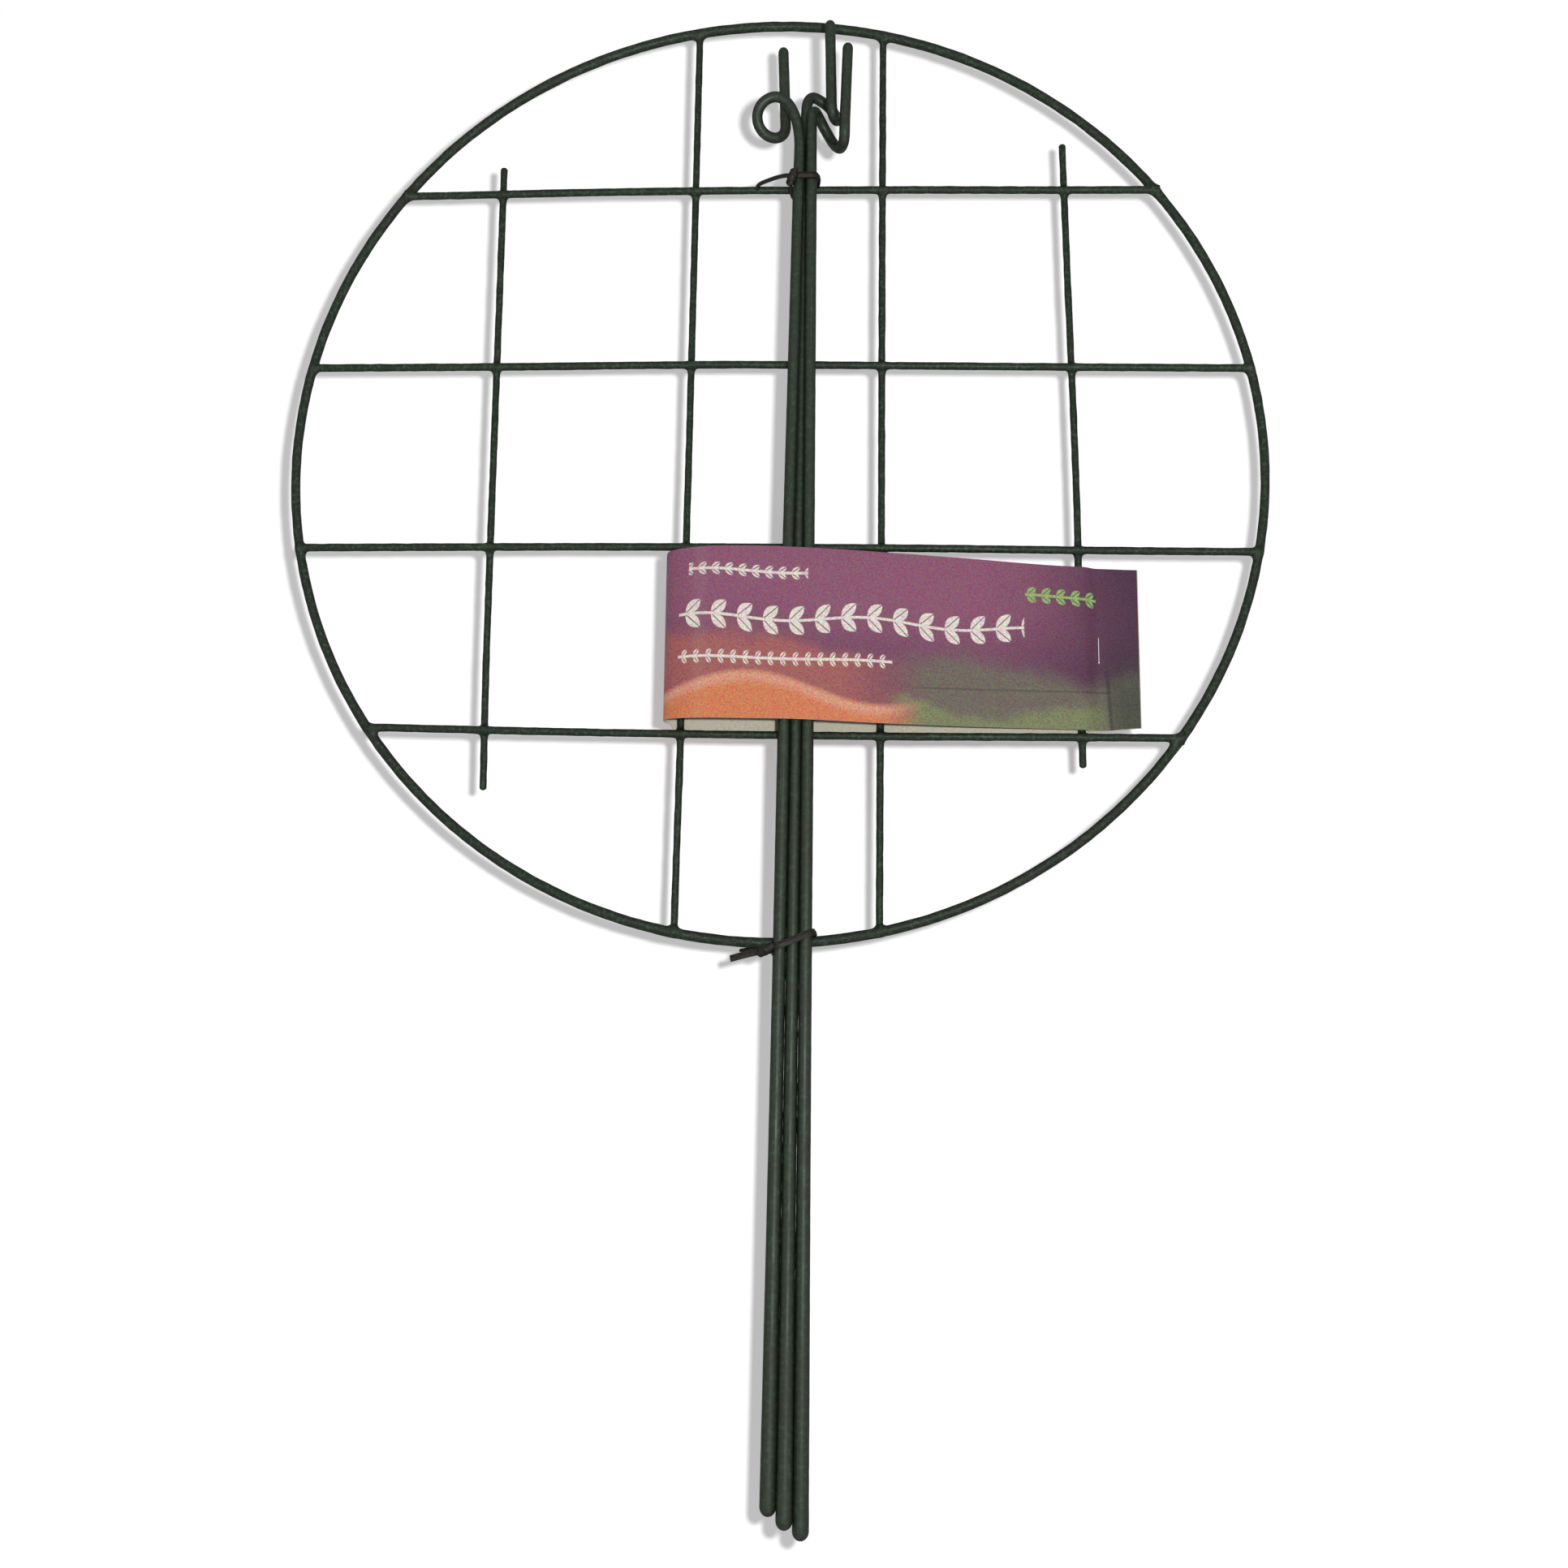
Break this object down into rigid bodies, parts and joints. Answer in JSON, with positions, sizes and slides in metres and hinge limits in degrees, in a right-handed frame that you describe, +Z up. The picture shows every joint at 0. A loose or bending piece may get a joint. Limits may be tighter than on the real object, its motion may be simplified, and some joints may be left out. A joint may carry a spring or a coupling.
{
  "type": "grow through plant support",
  "caption": "Flat round wire grid with straight stakes that end in pigtail loops, bundled through it with wire ties under a folded card sleeve.",
  "frame": {"origin": "centre of the overall box, on the plane that the back of the card sleeve rests on", "axes": "+Y along the stakes towards their pigtail loops, +Z up out of the flat grid, +X to the right seen from the front"},
  "size_m": [0.4062, 0.627, 0.0218],
  "materials": {
    "coated_steel": "satin",
    "dark_plastic": "satin",
    "printed_card": "satin",
    "bright_steel": "satin"
  },
  "bodies": {
    "grid": {"hoop": "coated_steel", "cross_wire_1": "coated_steel", "cross_wire_2": "coated_steel", "cross_wire_3": "coated_steel", "cross_wire_4": "coated_steel", "long_wire_left": "coated_steel", "long_wire_right": "coated_steel", "short_wire_left": "coated_steel", "short_wire_right": "coated_steel", "twist_tie_top": "dark_plastic", "twist_tie_bottom": "dark_plastic"},
    "stake_left": {"leg_left": "coated_steel"},
    "stake_middle": {"leg_middle": "coated_steel"},
    "stake_right": {"leg_right": "coated_steel"},
    "sleeve": {"card_sleeve": "printed_card", "staple": "bright_steel"}
  },
  "joints": [
    {"name": "stake_left_slide", "type": "slide", "parent": "grid", "child": "stake_left", "axis": [0.0135, 0.9998, 0.0134], "range_m": [-0.008, 0.008]},
    {"name": "stake_middle_slide", "type": "slide", "parent": "grid", "child": "stake_middle", "axis": [0.007, 1, 0], "range_m": [-0.002, 0.01]},
    {"name": "stake_right_slide", "type": "slide", "parent": "grid", "child": "stake_right", "axis": [0.0006, 0.9999, 0.0132], "range_m": [-0.008, 0.002]},
    {"name": "sleeve_slide", "type": "slide", "parent": "grid", "child": "sleeve", "axis": [0, 1, 0], "range_m": [-0.001, 0.003]}
  ]
}
